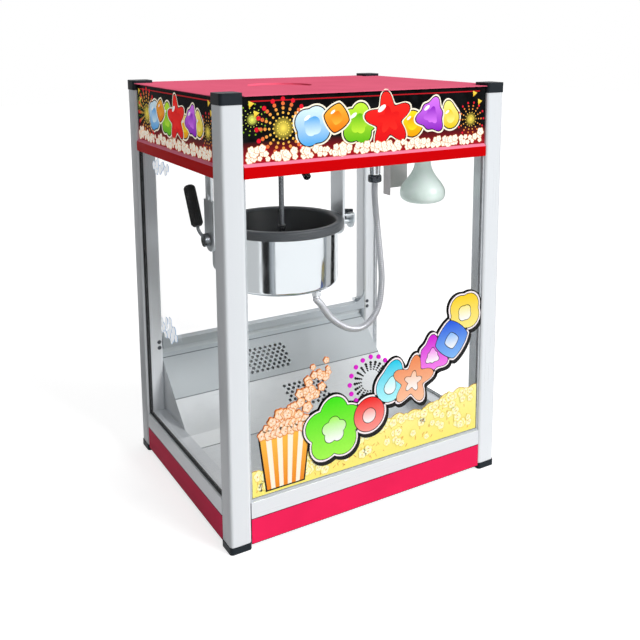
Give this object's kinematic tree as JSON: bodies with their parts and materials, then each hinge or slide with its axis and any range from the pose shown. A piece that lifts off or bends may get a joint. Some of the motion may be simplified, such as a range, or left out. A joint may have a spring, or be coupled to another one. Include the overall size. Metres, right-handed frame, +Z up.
{
  "type": "cabinet popcorn machine",
  "caption": "Countertop cabinet popcorn maker with glazed bay, tilting kettle on hanger arms, stirrer drive, lamp, sloped sieve floor and kernel drawer.",
  "frame": {"origin": "centre of the cabinet's footprint, on the table under its feet", "axes": "+X to the right, -Y out through the glazed front, +Z up"},
  "size_m": [0.56, 0.45, 0.75],
  "materials": {
    "aluminium": "satin",
    "black_plastic": "satin",
    "red_paint": "gloss",
    "stainless": "brushed",
    "polished_steel": "polished",
    "sign_acrylic": "gloss",
    "clear_glass": "clear",
    "clear_acrylic": "clear",
    "rubber": "matte",
    "non_stick": "satin",
    "motor_grey": "satin",
    "chrome": "polished",
    "bulb_glass": "frosted",
    "porcelain": "gloss",
    "dark_steel": "dark"
  },
  "bodies": {
    "cabinet": {"post_front_left": "aluminium", "post_front_right": "aluminium", "post_rear_left": "aluminium", "post_rear_right": "aluminium", "top_caps": "black_plastic", "corner_feet": "black_plastic", "skirt_front": "red_paint", "skirt_left": "red_paint", "skirt_right": "red_paint", "back_panel": "stainless", "lower_rails": "aluminium", "rear_rail": "stainless", "bottom_plate": "stainless", "floor_pan": "stainless", "slope_gussets": "stainless", "header_floor": "stainless", "sign_front": "sign_acrylic", "sign_left": "sign_acrylic", "sign_right": "sign_acrylic", "control_panel": "stainless", "header_trims": "red_paint", "roof_panel": "red_paint", "glass_front": "clear_glass", "glass_left": "clear_glass", "glass_right": "clear_glass", "glass_gaskets": "rubber", "door_hinges": "black_plastic", "hanger_arm_left": "stainless", "hanger_arm_right": "stainless", "gearmotor": "motor_grey", "motor_bracket": "stainless", "power_conduit": "chrome", "conduit_plug": "chrome", "conduit_socket": "black_plastic", "lamp_bulb": "bulb_glass", "lamp_holder": "porcelain", "lamp_shield": "stainless", "switch_bezels": "black_plastic", "cord_inlet": "black_plastic", "frame_screws": "dark_steel"},
    "kettle": {"kettle_shell": "polished_steel", "kettle_pot": "non_stick", "heating_plate": "non_stick", "kettle_trunnions": "stainless", "kettle_gland": "stainless", "handle_rod": "stainless", "handle_grip": "black_plastic"},
    "stirrer": {"stirrer": "stainless"},
    "coupler": {"drive_coupler": "stainless"},
    "latch": {"kettle_latch": "black_plastic"},
    "lever": {"release_lever": "black_plastic"},
    "left_door": {"door_left": "clear_acrylic", "door_knob_left": "black_plastic"},
    "right_door": {"door_right": "clear_acrylic", "door_knob_right": "black_plastic"},
    "drawer": {"kernel_drawer": "stainless", "drawer_knob": "black_plastic"},
    "heat_rocker": {"heat_switch": "black_plastic"},
    "stir_rocker": {"stir_switch": "black_plastic"},
    "lamp_rocker": {"lamp_switch": "black_plastic"}
  },
  "joints": [
    {"name": "kettle_tilt", "type": "hinge", "parent": "cabinet", "child": "kettle", "pos_m": [-0.065, 0, 0.472], "axis": [1, 0, 0], "range_deg": [0, 95], "deforming": ["power_conduit"]},
    {"name": "drive_spin", "type": "hinge", "parent": "cabinet", "child": "coupler", "pos_m": [-0.065, 0, 0.6], "axis": [0, 0, 1], "continuous": true},
    {"name": "stirrer_spin", "type": "hinge", "parent": "kettle", "child": "stirrer", "pos_m": [-0.065, 0, 0.4], "axis": [0, 0, 1], "continuous": true},
    {"name": "latch_turn", "type": "hinge", "parent": "cabinet", "child": "latch", "pos_m": [0.075, 0, 0.49], "axis": [0, 0, 1], "range_deg": [0, 90]},
    {"name": "release_lever_swing", "type": "hinge", "parent": "cabinet", "child": "lever", "pos_m": [-0.057, -0.06, 0.609], "axis": [0, 1, 0], "range_deg": [-25, 15]},
    {"name": "left_door_swing", "type": "hinge", "parent": "cabinet", "child": "left_door", "pos_m": [-0.231, 0.2075, 0.42], "axis": [0, 0, 1], "range_deg": [0, 100]},
    {"name": "right_door_swing", "type": "hinge", "parent": "cabinet", "child": "right_door", "pos_m": [0.231, 0.2075, 0.42], "axis": [0, 0, -1], "range_deg": [0, 100]},
    {"name": "drawer_slide", "type": "slide", "parent": "cabinet", "child": "drawer", "axis": [0, 1, 0], "range_m": [0, 0.12]},
    {"name": "heat_switch_rock", "type": "hinge", "parent": "cabinet", "child": "heat_rocker", "pos_m": [-0.06, 0.2122, 0.683], "axis": [1, 0, 0], "range_deg": [0, 14]},
    {"name": "stir_switch_rock", "type": "hinge", "parent": "cabinet", "child": "stir_rocker", "pos_m": [0, 0.2122, 0.683], "axis": [1, 0, 0], "range_deg": [0, 14]},
    {"name": "lamp_switch_rock", "type": "hinge", "parent": "cabinet", "child": "lamp_rocker", "pos_m": [0.06, 0.2122, 0.683], "axis": [1, 0, 0], "range_deg": [0, 14]}
  ],
  "couplings": [
    {"joint": "stirrer_spin", "follows": "drive_spin", "ratio": 1}
  ]
}
